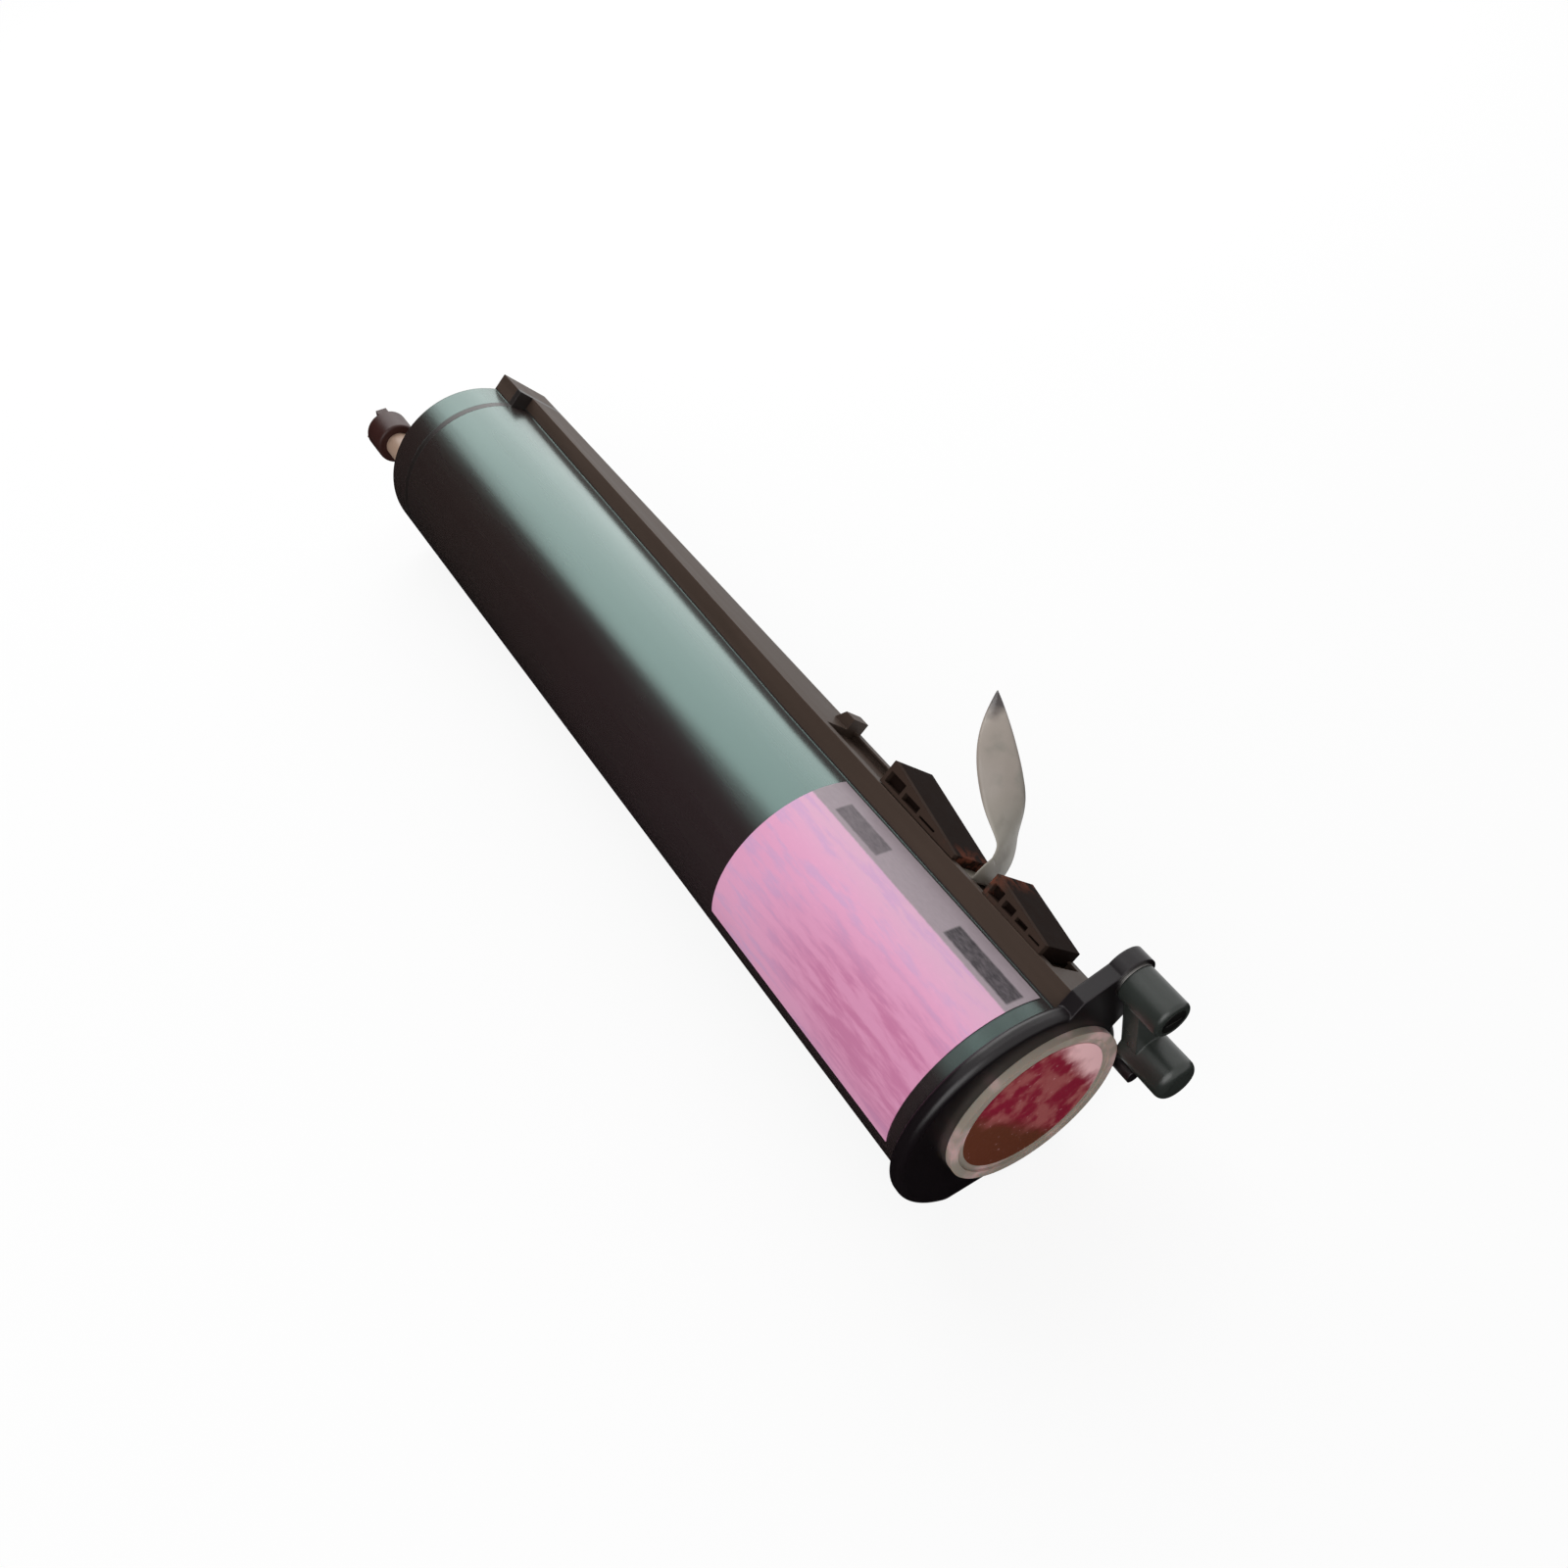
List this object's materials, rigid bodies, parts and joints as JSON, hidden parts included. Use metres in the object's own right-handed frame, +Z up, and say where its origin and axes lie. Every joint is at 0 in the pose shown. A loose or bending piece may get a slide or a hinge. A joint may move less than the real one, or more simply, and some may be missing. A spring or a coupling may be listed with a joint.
{
  "type": "toner cartridge",
  "caption": "Long round toner hopper with a shuttered outlet on a slanted guide block, a geared drive end and a swinging lever on the front flange.",
  "frame": {"origin": "centre of the flat underside that the cartridge rests on", "axes": "+Z up, +Y along the hopper towards the drive coupling, +X towards the guide block and the lever"},
  "size_m": [0.1105, 0.47, 0.1044],
  "materials": {
    "hopper_plastic": "moulded black ABS with a soft gloss",
    "cap_plastic": "glossy black moulding",
    "cover_plastic": "fine-textured black moulding",
    "slide_plastic": "satin brown-black moulding",
    "milky_plastic": "milky polyethylene",
    "label_paper": "printed pink label with a pale margin",
    "sticker_paper": "printed magenta disc",
    "tape_film": "translucent greyish film",
    "acetal": "natural acetal",
    "neck_plastic": "tan acetal",
    "head_plastic": "dark brown moulding",
    "foam": "open-cell urethane foam",
    "seal_rubber": "soft rubber",
    "steel": "zinc-plated steel",
    "bush_plastic": "oil-filled nylon",
    "wiper_film": "clear polyester film"
  },
  "bodies": {
    "housing": {"hopper_shell": "hopper_plastic", "body_label": "label_paper", "front_cap": "cap_plastic", "filler_plug": "milky_plastic", "plug_seal": "seal_rubber", "plug_sticker": "sticker_paper", "front_guard": "slide_plastic", "port_seal": "foam", "pull_tape": "tape_film", "agitator_front_bush": "bush_plastic", "agitator_rear_bush": "bush_plastic", "agitator_shaft_seal": "seal_rubber", "auger_front_bush": "bush_plastic", "auger_rear_bush": "bush_plastic", "auger_shaft_seal": "seal_rubber", "rear_bulkhead": "cover_plastic", "gear_cover": "cover_plastic", "cover_screws": "steel", "coupling_bush": "bush_plastic", "lever_screw": "steel", "lever_washer": "steel"},
    "agitator": {"agitator_shaft": "acetal", "agitator_films": "wiper_film", "agitator_gear": "acetal", "agitator_clip": "steel"},
    "auger": {"auger_screw": "acetal", "auger_gear": "acetal", "auger_clip": "steel"},
    "coupling": {"coupling_shaft": "neck_plastic", "coupling_head": "head_plastic"},
    "shutter_body": {"shutter": "slide_plastic"},
    "lever_body": {"lock_lever": "cap_plastic"}
  },
  "joints": [
    {"name": "agitator_spin", "type": "hinge", "parent": "housing", "child": "agitator", "pos_m": [0, 0, 0.0355], "axis": [0, 1, 0], "continuous": true},
    {"name": "auger_spin", "type": "hinge", "parent": "housing", "child": "auger", "pos_m": [0.02227, 0, 0.05777], "axis": [0, 1, 0], "continuous": true},
    {"name": "coupling_spin", "type": "hinge", "parent": "housing", "child": "coupling", "pos_m": [-0.02663, 0.2, 0.04415], "axis": [0, 1, 0], "continuous": true},
    {"name": "shutter_slide", "type": "slide", "parent": "housing", "child": "shutter_body", "axis": [0, 1, 0], "range_m": [0, 0.035]},
    {"name": "lever_swing", "type": "hinge", "parent": "housing", "child": "lever_body", "pos_m": [0.042, -0.21, 0.07552], "axis": [0, -1, 0], "range_deg": [0, 75]}
  ],
  "couplings": [
    {"joint": "auger_spin", "follows": "agitator_spin", "ratio": -2.3158},
    {"joint": "coupling_spin", "follows": "agitator_spin", "ratio": -3.6667}
  ]
}
